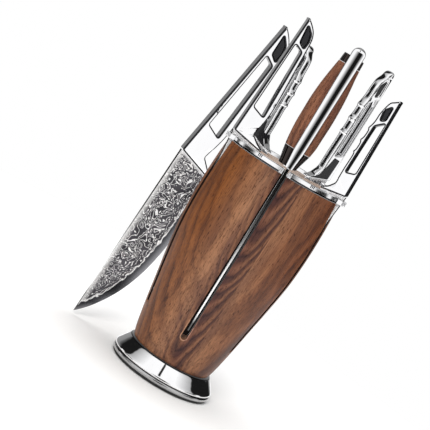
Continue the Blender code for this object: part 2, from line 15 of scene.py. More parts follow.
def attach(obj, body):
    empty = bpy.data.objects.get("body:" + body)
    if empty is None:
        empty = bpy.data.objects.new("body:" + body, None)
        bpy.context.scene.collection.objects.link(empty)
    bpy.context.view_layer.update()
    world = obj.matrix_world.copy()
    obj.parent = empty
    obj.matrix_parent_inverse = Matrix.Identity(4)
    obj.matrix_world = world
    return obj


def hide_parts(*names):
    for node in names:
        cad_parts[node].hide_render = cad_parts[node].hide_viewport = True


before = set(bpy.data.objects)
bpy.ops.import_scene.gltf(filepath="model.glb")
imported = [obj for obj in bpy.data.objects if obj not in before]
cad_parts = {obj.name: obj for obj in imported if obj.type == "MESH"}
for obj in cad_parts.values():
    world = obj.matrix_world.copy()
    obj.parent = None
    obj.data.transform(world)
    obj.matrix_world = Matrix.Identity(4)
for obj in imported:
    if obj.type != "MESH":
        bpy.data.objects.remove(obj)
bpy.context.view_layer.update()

MM = 0.001
SEGMENTS = 192
SHARP_ANGLE = 35.0

# The slots: where they are, in degrees from the front towards the right, and their sizes in millimetres. The
# front one ends 5 mm lower than in the CAD.
KNIFE_SLOTS = (0.0, 72.0, -72.0, 140.0, -140.0)
CHEF_SLOT = 180.0
SLOT_WIDTH, CHEF_SLOT_WIDTH = 4.6, 5.0
SLOT_INNER, CHEF_SLOT_INNER = 21.0, 12.5
SLOT_END, FRONT_SLOT_END, CHEF_SLOT_END = 50.0, 45.0, 15.0
WOOD_SETBACK = 0.8  # how much wider a slot is in the wood than in the cap
# Above a slot's end by this much, its walls take a lighter plain tone instead of the painted shade.
UNSHADED_END = 1.6  # how far above a slot's end its walls are bare wood

# The slotted knives: how far they lean out, where their spines cross the cap's top, and how far above it
# their joint lines are.
LEAN = math.radians(5.0)
SPINE_REACH = 57.0
CAP_TOP = 209.0
GUARD_RISE, FRONT_RISE = 3.4, 1.6
# The loose knife's spot, lean and turn.
CHEF_SPOT = (-84.0, 21.5, 172.3)
CHEF_LEAN, CHEF_TURN = math.radians(2.5), math.radians(28.0)

# Handle outlines as shares of the handle's length: how far up it, and how far across from the spine.
PLAIN_BELLY = (
    (0.972, 0.048), (0.935, 0.088), (0.89, 0.112), (0.83, 0.124), (0.58, 0.148), (0.26, 0.176), (0.05, 0.156),
)
PLAIN_WINDOW = ((0.229, 0.030), (0.783, 0.026), (0.756, 0.096), (0.198, 0.134))
PLAIN_POMMEL = ((0.948, 0.026), (0.905, 0.078), (0.85, 0.096), (0.79, 0.094), (0.815, 0.046))
RIDGED_BELLY = (
    (0.945, 0.069), (0.89, 0.104), (0.82, 0.117), (0.74, 0.121), (0.69, 0.131), (0.655, 0.142),
    (0.625, 0.133), (0.56, 0.138), (0.525, 0.150), (0.495, 0.140), (0.43, 0.142), (0.40, 0.153),
    (0.37, 0.142), (0.21, 0.148), (0.07, 0.148),
)
RIDGED_WINDOW = ((0.229, 0.032), (0.752, 0.025), (0.69, 0.095), (0.45, 0.105), (0.203, 0.112))
RIDGED_POMMEL = ((0.914, 0.040), (0.858, 0.088), (0.762, 0.078), (0.785, 0.040))

# Outline of a black plate over the guard, in shares as above: a painted dark reflection.
GUARD_DARK_PATCH = ((0.185, 0.03), (0.19, 0.106), (0.11, 0.128))

SHARP_TOP = ((1.0, 0.0), (0.999, 0.008))
ROUND_TOP = ((0.955, 0.0), (0.982, 0.005), (0.998, 0.021), (0.993, 0.042), (0.972, 0.060))

# The kinds of handle. "bevel" and "round_over" are how far the rounding goes in and down, in millimetres.
PLAIN = {"top": SHARP_TOP, "belly": PLAIN_BELLY, "window": PLAIN_WINDOW, "pommel": PLAIN_POMMEL,
         "bevel": 1.3, "round_over": 1.3, "dark_guard_patch": False}
RIDGED = {**PLAIN, "belly": PLAIN_BELLY[:2] + RIDGED_BELLY[2:],
          "window": RIDGED_WINDOW, "pommel": RIDGED_POMMEL}
# These handles carry the guard's painted dark reflection.
DARK_PATCHED = {**RIDGED, "top": ROUND_TOP, "belly": RIDGED_BELLY,
            "bevel": 1.2, "round_over": 3.5, "dark_guard_patch": True}

# The knives in millimetres. "depth" stretches a handle's shares across, "slope" is how far the joint line
# between blade and handle falls across the blade, and "kink" is in degrees. The front blade is 10 mm longer
# than in the CAD.
CHEF = {**PLAIN, "handle": 136.0, "depth": 1.02, "blade": 169.0, "width": 42.5, "slope": 0.30, "kink": 7.5}
LEFT = {**PLAIN, "handle": 109.0, "depth": 1.0, "blade": 150.0, "width": 30.0, "slope": 0.28, "kink": 8.0}
RIGHT = {**RIDGED, "handle": 90.0, "depth": 1.05, "blade": 92.0, "width": 22.5, "slope": 0.28, "kink": 6.5}
BACK_LEFT = {**DARK_PATCHED, "handle": 91.0, "depth": 1.05, "blade": 128.0, "width": 27.0, "slope": 0.28,
             "kink": 5.0}
BACK_RIGHT = {**BACK_LEFT, "handle": 108.0, "blade": 142.0, "width": 28.0}
FRONT = {"blade": 157.0, "width": 30.0, "slope": 0.09}

# The handles' half thicknesses and corner radii, and the share of a guard's reach beyond which it thins.
HANDLE_HALF = 4.0
INLAY_HALF = 3.3
# Half the thickness of the guard's painted dark reflection plate.
DARK_PATCH_HALF = 4.06
WINDOW_CORNER = 1.6
HANDLE_CORNER = 1.8
TAPER_FROM = 0.45

# A blade: its number of sections, where their points are across it, half its thickness at the spine and at
# the edge, and where its ground part starts.
BLADE_STATIONS = 72
BLADE_ACROSS = (0.0, 0.012, 0.05, 0.14, 0.26, 0.38, 0.50, 0.61, 0.72, 0.82, 0.90, 0.95, 0.985, 1.0)
BLADE_HALF = 1.2
EDGE_HALF = 0.13
GROUND_FROM = 0.72

# Outlines of the turned pieces as (radius, height), in millimetres.
WOOD_SIDE = (
    (36.3, 19.8), (36.9, 20.6), (38.6, 27.2), (40.3, 35.3), (42.2, 45.6), (44.4, 58.8), (46.5, 72.1),
    (48.7, 85.4), (50.6, 97.7), (52.7, 112.0), (54.3, 126.3), (55.2, 142.7), (55.5, 160.0), (55.2, 177.4),
    (54.5, 191.7), (53.6, 203.7),
)
SKIRT_SIDE = (
    (39.6, 9.0), (43.4, 9.0), (43.4, 6.3), (45.9, 6.3), (46.5, 6.45), (46.85, 6.85), (47.0, 7.4),
    (46.95, 7.9), (46.6, 8.6), (45.8, 9.8), (44.6, 11.4), (43.3, 13.2), (41.9, 15.1), (40.6, 16.8),
    (39.6, 18.2), (39.0, 18.9), (38.5, 19.4), (38.2, 19.5),
)
PLATE_SIDE = (
    (45.6, 2.3), (46.5, 2.5), (47.0, 3.0), (47.2, 3.7), (47.15, 4.5), (46.9, 5.2), (46.5, 5.7), (46.0, 5.9),
    (43.0, 5.9), (43.0, 8.6),
)
# The front knife. A cheek's sections are height, half depth, and bulge on the knife's right and left; the
# core's are height and half thickness.
SCALE_SECTIONS = (
    (16.0, 8.9, 7.6, 5.2), (24.0, 9.6, 8.5, 6.1), (34.0, 10.2, 9.2, 6.2), (46.0, 10.6, 9.3, 6.3),
    (58.0, 10.6, 9.2, 5.9), (70.0, 10.4, 8.4, 5.0), (80.0, 10.0, 7.2, 3.8), (88.0, 9.6, 6.0, 2.7),
    (94.3, 9.4, 5.0, 2.1),
)
BOLSTER_SECTIONS = ((0.6, 8.0, 6.2, 2.6), (5.0, 8.2, 6.5, 3.2), (9.0, 8.6, 6.9, 3.9), (15.7, 8.9, 7.5, 5.1))
END_SECTIONS = ((94.6, 9.4, 4.9, 2.0), (99.0, 9.0, 4.5, 1.8), (102.0, 8.4, 4.1, 1.5))
CORE_SECTIONS = ((0.3, 3.2), (5.0, 3.5), (15.0, 4.5), (105.5, 5.5))
CORE_LEVELS = (0.3, 0.9, 2.5, 5.0, 8.0, 11.5, 15.0, 25.0, 40.0, 55.0, 70.0, 85.0, 96.0, 105.5)
CORE_SPINE = -0.6
CORE_BELLY = 24.0
FLAT_FRONT = 0.75
CHEEK_CENTRE = 13.4
# Each pin's name, height, and length on the knife's left and right.
PINS = (("lower", 34.0, 6.2, 9.2), ("upper", 76.0, 4.2, 7.7))
PIN_RADIUS = 2.0
FRONT_KINK = math.radians(5.0)


# ---- node materials

class Nodes:
    """Short calls for building one material's node tree."""

    def __init__(self, name):
        self.material = bpy.data.materials.new(name)
        self.material.use_nodes = True
        self.tree = self.material.node_tree
        self.shader = self.tree.nodes["Principled BSDF"]

    def make(self, kind, inputs=(), **settings):
        node = self.tree.nodes.new(kind)
        for key, value in settings.items():
            setattr(node, key, value)
        for key, value in dict(inputs).items():
            self.put(node.inputs[key], value)
        return node

    def put(self, socket, value):
        if isinstance(value, bpy.types.NodeSocket):
            self.tree.links.new(value, socket)
        else:
            socket.default_value = value

    def math(self, operation, *values):
        node = self.make("ShaderNodeMath", operation=operation)
        for socket, value in zip(node.inputs, values):
            self.put(socket, value)
        return node.outputs[0]

    def vector(self, operation, *values):
        node = self.make("ShaderNodeVectorMath", operation=operation)
        for socket, value in zip(node.inputs, values):
            self.put(socket, value)
        return node.outputs[0]

    def times(self, first, second):
        return self.math("MULTIPLY", first, second)

    def plus(self, first, second):
        return self.math("ADD", first, second)

    def minus(self, first, second):
        return self.math("SUBTRACT", first, second)

    def moved(self, value, noise, amount):
        """The value shifted either way by a noise that lies about 0.5."""
        return self.math("MULTIPLY_ADD", self.minus(noise, 0.5), amount, value)

    def waves(self, value, rate):
        return self.math("ABSOLUTE", self.math("SINE", self.times(value, rate)))

    def length(self, x, y):
        return self.math("SQRT", self.plus(self.times(x, x), self.times(y, y)))

    def split(self, vector):
        return self.make("ShaderNodeSeparateXYZ", {"Vector": vector}).outputs

    def attribute(self, name):
        return self.make("ShaderNodeAttribute", attribute_name=name).outputs["Fac"]

    def place(self):
        return self.make("ShaderNodeTexCoord").outputs["Object"]

    def noise(self, place, scale, detail=2.0, roughness=0.5, distortion=0.0, output="Factor"):
        inputs = {"Vector": self.vector("MULTIPLY", place, scale), "Scale": 1.0, "Detail": detail,
                  "Roughness": roughness, "Distortion": distortion}
        return self.make("ShaderNodeTexNoise", inputs).outputs[0 if output == "Factor" else 1]

    def ramp(self, value, stops):
        node = self.make("ShaderNodeValToRGB", {"Fac": value})
        elements = node.color_ramp.elements
        while len(elements) < len(stops):
            elements.new(0.5)
        for element, (at, colour) in zip(elements, stops):
            element.position = at
            element.color = (*colour, 1.0) if isinstance(colour, tuple) else (*(colour,) * 3, 1.0)
        return node.outputs["Color"]

    def mix(self, amount, first, second, blend="MIX"):
        node = self.make("ShaderNodeMix", data_type="RGBA", blend_type=blend)
        self.put(node.inputs[0], amount)
        self.put(node.inputs[6], first if isinstance(first, bpy.types.NodeSocket) else (*first, 1.0))
        self.put(node.inputs[7], second if isinstance(second, bpy.types.NodeSocket) else (*second, 1.0))
        return node.outputs[2]

    def tint(self, base, factor):
        return self.mix(1.0, base, factor, "MULTIPLY")

    def span(self, value, low, high, to_low=0.0, to_high=1.0):
        """Maps low to high onto to_low to to_high, and holds the end values beyond."""
        inputs = {"Value": value, "From Min": low, "From Max": high, "To Min": to_low, "To Max": to_high}
        return self.make("ShaderNodeMapRange", inputs).outputs[0]

    def band(self, value, rise, fall):
        """1 between the rising and the falling span, and 0 outside them."""
        return self.times(self.span(value, *rise), self.span(value, *fall))

    def bump(self, height, distance, strength=1.0):
        inputs = {"Height": height, "Distance": distance, "Strength": strength}
        self.put(self.shader.inputs["Normal"], self.make("ShaderNodeBump", inputs).outputs[0])

    def set(self, **values):
        for key, value in values.items():
            self.put(self.shader.inputs[key.replace("_", " ")], value)


def srgb(red, green, blue):
    """A colour given as on a screen, 0 to 255, as the linear values that a shader takes."""
    return tuple(v / 12.92 if v <= 0.04045 else ((v + 0.055) / 1.055) ** 2.4 for v in
                 (red / 255, green / 255, blue / 255))


def walnut(name, shift, spacing, tones, tilt, wander=1.0, boards=False):
    """Walnut with growth rings round a tilted pith, fibre streaks along Z and open pores."""
    n = Nodes(name)
    place = n.place()
    p = n.vector("ADD", place, shift)
    bend = n.noise(p, (14.0, 14.0, 5.0), 3.0, 0.55, 0.0, "Color")
    bend = n.vector("MULTIPLY", n.vector("SUBTRACT", bend, (0.5,) * 3), (0.05 * wander,) * 3)
    parts = n.split(n.vector("ADD", p, bend))
    x = n.math("MULTIPLY_ADD", parts[2], tilt[0], parts[0])
    y = n.math("MULTIPLY_ADD", parts[2], tilt[1], parts[1])
    fine = n.noise(p, (210.0, 210.0, 9.0), 4.0, 0.65)
    ring = n.math("FRACT", n.plus(n.math("DIVIDE", n.length(x, y), spacing), n.times(fine, 0.9)))
    light, middle, dark, line = tones
    stops = ((0.0, middle), (0.15, light), (0.45, light), (0.70, middle), (0.88, dark), (0.95, line),
             (1.0, middle))
    base = n.ramp(ring, stops)
    plain = n.noise(p, (70.0, 70.0, 7.0), 4.0, 0.6)
    flat = n.ramp(plain, ((0.36, dark), (0.47, middle), (0.56, light), (0.66, middle)))
    calm = n.span(n.noise(p, (17.0, 17.0, 9.0), 2.0, 0.5), 0.40, 0.56)
    base = n.mix(n.span(calm, 0.0, 1.0, 0.25, 0.92), base, flat)
    patch = n.noise(p, (30.0, 30.0, 6.0), 3.0, 0.5)
    base = n.mix(n.span(patch, 0.52, 0.68, 0.0, 0.75), base, dark)
    if boards:
        base = front_board(n, place, p, fine, base, tones)
    streak = n.noise(p, (1100.0, 1100.0, 16.0), 4.0, 0.66)
    base = n.tint(base, n.ramp(streak, ((0.28, 0.55), (0.50, 1.0), (0.74, 1.25))))
    pore = n.span(n.noise(p, (1500.0, 1500.0, 230.0), 1.0, 0.5), 0.29, 0.41)
    base = n.mix(pore, n.tint(base, (0.36, 0.30, 0.28)), base)
    if boards:
        base = board_tints(n, n.split(place)[0], base)
    n.set(Base_Color=base, Roughness=n.span(streak, 0.3, 0.7, 0.38, 0.52))
    n.set(Specular_IOR_Level=0.22)
    n.bump(n.plus(n.times(pore, 0.6), n.times(streak, 0.4)), 0.0003, 0.6)
    return n.material


def board_tints(n, across, base):
    """The block's tone from left to right: amber, pale, dusky beside the front slot, then umber."""
    pale = n.band(across, (-0.030, -0.018), (-0.003, -0.009))
    base = n.mix(pale, base, n.tint(base, (1.12, 1.18, 1.22)))
    dusky = n.band(across, (0.0, 0.002), (0.011, 0.005))
    base = n.mix(dusky, base, n.tint(base, (0.74, 0.69, 0.80)))
    base = n.mix(n.span(across, -0.012, -0.038), base, n.tint(base, (0.76, 0.54, 0.26)))
    return n.mix(n.span(across, 0.018, 0.044), base, n.tint(base, (0.78, 0.58, 0.46)))


def front_board(n, place, p, fine, base, tones):
    """The flat-sawn board at the front: nested U-shaped figure that opens upward, with a straight joint to
    the next board on its right, and a lighter ring round the slot's end."""
    light, middle, dark, line = tones
    x, y, z = n.split(place)
    wobble = n.split(n.noise(p, (26.0, 26.0, 13.0), 3.0, 0.5, 0.0, "Color"))
    front = n.span(y, 0.0, -0.01)

    figure_centre, figure_bend, figure_period = 0.0045, 260.0, 0.024
    u = n.moved(n.minus(x, figure_centre), wobble[0], 0.016)
    field = n.minus(n.moved(z, wobble[1], 0.050), n.times(n.times(u, u), figure_bend))
    arcs = n.math("FRACT", n.math("MULTIPLY_ADD", fine, 0.5, n.math("DIVIDE", field, figure_period)))
    stops = ((0.0, dark), (0.10, middle), (0.30, light), (0.48, middle), (0.66, dark), (0.80, dark),
             (0.92, line), (1.0, dark))
    tone = n.mix(n.span(z, 0.09, 0.04), (0.76, 0.74, 0.80), (0.88, 0.86, 0.88))
    board = n.tint(n.ramp(arcs, stops), tone)

    joint_low, joint_high, joint_slope = 0.0178, 0.0185, -0.024
    right = n.moved(x, wobble[2], 0.002)
    right = n.math("MULTIPLY_ADD", n.minus(z, 0.2), joint_slope, right)
    beyond = n.tint(base, (1.12, 1.14, 1.12))
    base = n.mix(n.times(n.span(right, joint_low, joint_high), front), base, beyond)
    inside = n.times(n.span(u, -0.0165, -0.0055), n.span(right, joint_high, joint_low))
    base = n.mix(n.times(n.times(inside, front), 0.92), base, board)

    end_centre = (FRONT_SLOT_END + SLOT_WIDTH / 2) * MM
    below = n.math("MAXIMUM", n.minus(end_centre, z), 0.0)
    ring = n.span(n.length(x, below), 0.0037, 0.0033)
    lighter_ring = n.times(ring, n.times(n.span(z, 0.080, 0.050), front))
    return n.mix(lighter_ring, base, srgb(176, 132, 104))


def slot_wood(name, low, high):
    """One tone of wood with fine fibres: dark as painted shade on slot walls, or lighter for edges."""
    n = Nodes(name)
    fibre = n.noise(n.place(), (1100.0, 1100.0, 30.0), 3.0, 0.6)
    base = n.mix(n.span(fibre, 0.35, 0.65), low, high)
    n.set(Base_Color=base, Roughness=n.span(fibre, 0.3, 0.7, 0.6, 0.75))
    n.set(Specular_IOR_Level=0.1)
    n.bump(fibre, 0.0001, 0.4)
    return n.material


def end_grain(name):
    """Pale end grain: tight rings seen from above, with specks of pores."""
    n = Nodes(name)
    p = n.vector("ADD", n.place(), (0.041, 0.066, 0.0))
    bend = n.vector("MULTIPLY", n.noise(p, (22.0,) * 3, 2.0, 0.5, 0.0, "Color"), (0.012, 0.012, 0.0))
    radius = n.make("ShaderNodeVectorMath", {"Vector": n.vector("ADD", p, bend)}, operation="LENGTH")
    ring = n.math("FRACT", n.math("DIVIDE", radius.outputs["Value"], 0.0042))
    base = n.ramp(ring, ((0.0, srgb(192, 168, 150)), (0.6, srgb(180, 155, 137)), (0.93, srgb(156, 130, 112))))
    speck = n.noise(p, (1500.0,) * 3, 1.0)
    base = n.mix(n.span(speck, 0.30, 0.36), srgb(128, 102, 86), base)
    n.set(Base_Color=base, Roughness=n.span(speck, 0.3, 0.7, 0.42, 0.56))
    n.bump(speck, 0.0001, 0.4)
    return n.material


def polished(name, colour, low, high):
    """Polished metal with faint wiping marks in its gloss."""
    n = Nodes(name)
    p = n.place()
    smear = n.noise(p, (70.0, 70.0, 24.0), 4.0, 0.6)
    fine = n.noise(p, (2600.0, 2600.0, 500.0), 2.0, 0.6)
    tint = n.mix(n.span(smear, 0.3, 0.7), tuple(c * 0.95 for c in colour), colour)
    n.set(Base_Color=tint, Metallic=1.0, Roughness=n.span(smear, 0.25, 0.75, low, high))
    n.bump(fine, 0.00001, 0.15)
    return n.material


def brushed(name, colour, low, high, stretch):
    """Satin metal with fine lines along one axis."""
    n = Nodes(name)
    p = n.place()
    lines = n.noise(p, stretch, 3.0, 0.65)
    base = n.mix(n.span(lines, 0.3, 0.7), tuple(c * 0.82 for c in colour), colour)
    n.set(Base_Color=base, Metallic=1.0, Roughness=n.span(lines, 0.25, 0.75, low, high))
    n.bump(lines, 0.00003, 0.3)
    return n.material


def rubber(name):
    """Matt black rubber with a fine grain."""
    n = Nodes(name)
    grain = n.noise(n.place(), (1800.0,) * 3, 2.0)
    base = n.mix(n.span(grain, 0.3, 0.7), (0.012,) * 3, (0.026,) * 3)
    n.set(Base_Color=base, Roughness=n.span(grain, 0.3, 0.7, 0.62, 0.8))
    n.bump(grain, 0.00006, 0.5)
    return n.material


def resin(name):
    """Black inlay with a faint blue cast, also used as the painted dark reflection on some guards."""
    n = Nodes(name)
    cloud = n.noise(n.place(), (300.0, 300.0, 120.0), 3.0)
    base = n.mix(n.span(cloud, 0.3, 0.7), srgb(10, 10, 14), srgb(26, 26, 32))
    n.set(Base_Color=base, Roughness=n.span(cloud, 0.3, 0.7, 0.22, 0.34), Specular_IOR_Level=0.3)
    n.set(Coat_Weight=0.15, Coat_Roughness=0.1)
    n.bump(cloud, 0.00002, 0.3)
    return n.material


def damascus(name):
    """Layered steel: worm-like etched figure that turns into lines beside the wavy edge of the cladding. The
    attributes are the distances in millimetres from the edge, the heel and the spine."""
    n = Nodes(name)
    edge, heel, spine = (n.attribute(key) for key in ("edge_mm", "heel_mm", "spine_mm"))
    white = srgb(255, 255, 255)
    flow = n.vector("MULTIPLY", n.place(), (1.0, 0.0, 1.0))
    worms = n.waves(n.noise(flow, (110.0,) * 3, 0.5, 0.4, 2.2), 16.0)
    wave = n.moved(edge, n.noise(flow, (260.0, 260.0, 230.0), 2.0), 6.5)
    lines = n.waves(n.moved(wave, n.noise(flow, (150.0, 150.0, 70.0), 3.0, 0.6, 0.6), 6.0), 1.35)
    away = n.span(wave, 9.5, 16.0)
    figure = n.plus(n.times(worms, away), n.times(lines, n.minus(1.0, away)))
    figure = n.moved(figure, n.noise(flow, (420.0,) * 3, 2.0, 0.6), 0.5)
    light = n.span(figure, 0.50, 0.22)
    cloud = n.span(n.noise(flow, (40.0,) * 3, 2.0), 0.35, 0.65)
    etched = n.mix(light, n.mix(cloud, srgb(46, 44, 50), srgb(90, 88, 94)), white)
    # Painted highlight: the figure fades to white towards the spine.
    etched = n.mix(n.span(spine, 5.5, 0.4, 0.0, 0.75), etched, white)

    core = n.span(wave, 7.9, 7.6)
    smooth = n.mix(n.span(edge, 0.1, 6.0), srgb(140, 140, 144), srgb(70, 70, 74))
    base = n.mix(core, etched, smooth)
    base = n.mix(n.band(wave, (7.5, 7.8), (8.9, 8.6)), base, white)
    # Painted highlight: a near-white strip along the heel.
    base = n.mix(n.span(heel, 2.5, 0.5), base, srgb(240, 240, 242))

    # Painted reflection: the flat spine runs from black at the heel through near-white to dark at the tip.
    back = n.span(spine, 0.5, 0.3)
    stops = ((0.0, 0.02), (0.16, 0.05), (0.40, 0.22), (0.62, 0.80), (0.93, 0.90), (1.0, 0.1))
    base = n.mix(back, base, n.ramp(n.math("DIVIDE", heel, 150.0), stops))
    polish = n.math("MAXIMUM", core, back)
    rough = n.mix(polish, n.mix(light, (0.40,) * 3, (0.28,) * 3), (0.22,) * 3)
    n.set(Base_Color=base, Metallic=n.span(polish, 0.0, 1.0, 0.45, 0.95), Roughness=rough)
    n.bump(n.times(light, n.minus(1.0, polish)), 0.00006, 0.5)
    return n.material


# ---- mesh helpers

def link(name, data):
    obj = bpy.data.objects.new(name, data)
    bpy.context.scene.collection.objects.link(obj)
    return obj


def shade(mesh, angle=SHARP_ANGLE):
    """Smooth shading, but not across edges sharper than the angle."""
    mesh.shade_smooth()
    mesh.set_sharp_from_angle(angle=math.radians(angle))


def face_outwards(mesh, merge):
    """Turns every face outwards, and can merge points that coincide first."""
    work = bmesh.new()
    work.from_mesh(mesh)
    if merge:
        bmesh.ops.remove_doubles(work, verts=work.verts, dist=1e-7)
    bmesh.ops.recalc_face_normals(work, faces=work.faces)
    work.to_mesh(mesh)
    work.free()


def even_normals(obj):
    modifier = obj.modifiers.new("normals", "WEIGHTED_NORMAL")
    modifier.keep_sharp = True


def make_object(name, points, faces, material, place=None, sharp=28.0):
    """A smooth-shaded object from points in millimetres. Its placement goes into the mesh itself."""
    mesh = bpy.data.meshes.new(name)
    mesh.from_pydata([Vector(point) * MM for point in points], [], faces)
    face_outwards(mesh, True)
    if material:
        mesh.materials.append(material)
    shade(mesh, sharp)
    if place:
        mesh.transform(place)
    return link(name, mesh)


def arc(centre, radii, begin, turn, steps):
    """Points along part of an ellipse, both ends included."""
    turns = [begin + turn * step / steps for step in range(steps + 1)]
    return [(centre[0] + radii[0] * math.cos(t), centre[1] + radii[1] * math.sin(t)) for t in turns]


def lathe(profile):
    """Turns a closed (radius, height) outline about Z."""
    points = []
    rings = []
    for radius, height in profile:
        count = SEGMENTS if radius > 0 else 1
        rings.append(range(len(points), len(points) + count))
        for step in range(count):
            angle = 2 * math.pi * step / count
            points.append((radius * math.cos(angle), radius * math.sin(angle), height))
    faces = []
    for first, second in zip(rings, rings[1:] + rings[:1]):
        if len(first) == len(second) == 1:
            continue
        for step in range(SEGMENTS):
            after = (step + 1) % SEGMENTS
            loop = [first[step % len(first)], first[after % len(first)]]
            loop += [second[after % len(second)], second[step % len(second)]]
            faces.append(list(dict.fromkeys(loop)))
    return points, faces


def loft(sections):
    """Joins closed sections that have the same number of points, and caps both ends."""
    count = len(sections[0])
    points = [Vector(point) for section in sections for point in section]
    faces = [list(range(count)), list(range(len(points) - count, len(points)))]
    for base in range(0, len(points) - count, count):
        for step in range(count):
            after = (step + 1) % count
            faces.append([base + step, base + after, base + count + after, base + count + step])
    return points, faces


def toward(shape, degrees):
    """Turns a shape that points along +X until it points along a slot's direction."""
    turn = Matrix.Rotation(math.radians(degrees - 90.0), 4, "Z")
    points, faces = shape
    return [turn @ Vector(point) for point in points], faces


def joined(shapes):
    """Several shapes as one."""
    points = []
    faces = []
    for shape_points, shape_faces in shapes:
        base = len(points)
        points += list(shape_points)
        faces += [[base + corner for corner in face] for face in shape_faces]
    return points, faces


def smooth_line(points, steps):
    """A Catmull-Rom curve through the points, with its ends kept."""
    line = []
    pad = [points[0], *points, points[-1]]
    for index in range(1, len(pad) - 2):
        a, b, c, d = (Vector(p) for p in pad[index - 1:index + 3])
        for step in range(steps):
            t = step / steps
            line.append(0.5 * (2 * b + (c - a) * t + (2 * a - 5 * b + 4 * c - d) * t * t
                               + (3 * b - a - 3 * c + d) * t ** 3))
    line.append(Vector(points[-1]))
    return line


def rounded(outline, radius, steps=6):
    """A closed outline with a curve at each corner, which takes up less than half of either side."""
    smooth = []
    most = 0.48
    for index, here in enumerate(outline):
        before = outline[index - 1] - here
        after = outline[(index + 1) % len(outline)] - here
        start = here + before.normalized() * min(radius, before.length * most)
        end = here + after.normalized() * min(radius, after.length * most)
        for step in range(steps + 1):
            t = step / steps
            smooth.append(start * (1 - t) ** 2 + here * 2 * t * (1 - t) + end * t ** 2)
    return smooth


def counterclockwise(outline):
    """The outline in the order that shrunk() needs."""
    area = sum(a.cross(b) for a, b in zip(outline, outline[1:] + outline[:1]))
    return outline if area > 0 else outline[::-1]


def shrunk(outline, depth):
    """Moves each side of an outline to its left by depth, with mitred corners."""
    result = []
    for index, here in enumerate(outline):
        before = (here - outline[index - 1]).normalized()
        after = (outline[(index + 1) % len(outline)] - here).normalized()
        side = Vector((-before.y, before.x))
        middle = (side + Vector((-after.y, after.x))).normalized()
        result.append(here + middle * depth / max(middle.dot(side), 0.5))
    return result


def plate(name, outer, windows, half, bevel, looks, place, round_over=None):
    """A flat plate in the x-z plane, cut through by the windows. Its rounded edges take the last material.
    They go in from the outline by bevel and down from the faces by round_over."""
    round_over = round_over or bevel
    loops = [counterclockwise(outer)] + [counterclockwise(window)[::-1] for window in windows]
    size = sum(len(loop) for loop in loops)
    turns = [math.pi / 2 * t for t in (0.0, 0.17, 0.33, 0.5, 0.67, 0.83, 1.0)]
    rim = [(half - round_over * (1 - math.sin(turn)), bevel * (1 - math.cos(turn))) for turn in turns]
    layers = [(-depth, inward) for depth, inward in reversed(rim)] + rim
    points = []
    faces = []
    edges = []
    for depth, inward in layers:
        for loop in loops:
            points += [(p.x, depth, p.y) for p in shrunk(loop, inward)]
    for layer in range(len(layers) - 1):
        start = layer * size
        for loop in loops:
            count = len(loop)
            for step in range(count):
                a = start + step
                b = start + (step + 1) % count
                if layer != len(rim) - 1:
                    edges.append(len(faces))
                faces.append([a, b, b + size, a + size])
            start += count
    flat = [[Vector((p.x, p.y, 0.0)) for p in shrunk(loop, bevel)] for loop in loops]
    top = (len(layers) - 1) * size
    for triangle in tessellate_polygon(flat):
        faces.append(list(triangle))
        faces.append([corner + top for corner in triangle])
    obj = make_object(name, points, faces, None, place)
    for look in looks:
        obj.data.materials.append(look)
    for index in edges:
        obj.data.polygons[index].material_index = len(looks) - 1
    even_normals(obj)
    return obj


def cut(target, cutter):
    """Takes the cutter's volume out of the target."""
    modifier = target.modifiers.new("cut", "BOOLEAN")
    modifier.operation = "DIFFERENCE"
    modifier.solver = "EXACT"
    modifier.object = cutter
    graph = bpy.context.evaluated_depsgraph_get()
    mesh = bpy.data.meshes.new_from_object(target.evaluated_get(graph))
    target.modifiers.clear()
    target.data = mesh
    shade(mesh)


def soften_edges(obj, width, segments=3, look=-1):
    """Bevels the edges sharper than 40 degrees. The bevels may take a material of their own."""
    modifier = obj.modifiers.new("edges", "BEVEL")
    modifier.material = look
    modifier.width = width * MM
    modifier.segments = segments
    modifier.limit_method = "ANGLE"
    modifier.angle_limit = math.radians(40.0)
    even_normals(obj)


def keep(obj, body, slot, *nodes, mirrored=True):
    """Hands a piece to the frame. Where it isn't mirrored, polished metal shows the studio instead."""
    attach(obj, body)
    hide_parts(*nodes)
    obj.visible_glossy = mirrored


# ---- knives

def slotted_place(degrees, above_cap):
    """Where a knife stands in its slot, with its spine leaning out and its joint line above the cap."""
    angle = math.radians(degrees)
    outward = Vector((math.sin(angle), -math.cos(angle), 0.0))
    up = Vector((0.0, 0.0, 1.0))
    axis_z = up * math.cos(LEAN) + outward * math.sin(LEAN)
    axis_x = up * math.sin(LEAN) - outward * math.cos(LEAN)
    turn = Matrix((axis_x, axis_z.cross(axis_x), axis_z)).transposed()
    spot = outward * (SPINE_REACH + above_cap * math.tan(LEAN)) + up * (CAP_TOP + above_cap)
    return Matrix.Translation(spot * MM) @ turn.to_4x4()


def chef_place():
    """Where the loose knife stands, to the left of the block and just above the table."""
    turn = Matrix.Rotation(CHEF_LEAN, 4, "Y") @ Matrix.Rotation(CHEF_TURN, 4, "Z")
    return Matrix.Translation(Vector(CHEF_SPOT) * MM) @ turn


def handle_point(up, across, size):
    """A point of a handle's outline, which leans from the blade's spine towards its edge by the kink."""
    kink = math.radians(size["kink"])
    x = across * size["depth"] * size["handle"]
    z = up * size["handle"]
    return Vector((x * math.cos(kink) + z * math.sin(kink), z * math.cos(kink) - x * math.sin(kink)))


def handle_outline(points, size):
    return [handle_point(up, across, size) for up, across in points]


def guard_point(share, above, size):
    """A point at a share of the blade's width, above the joint line between blade and handle."""
    x = share * size["width"]
    return Vector((x, above - x * size["slope"]))


def blade_width(along, full):
    """The width of a blade at a share of its length, down to a narrow tip."""
    return max(full * max(1.0 - along ** 3.8, 0.0) ** 0.88, 0.6)


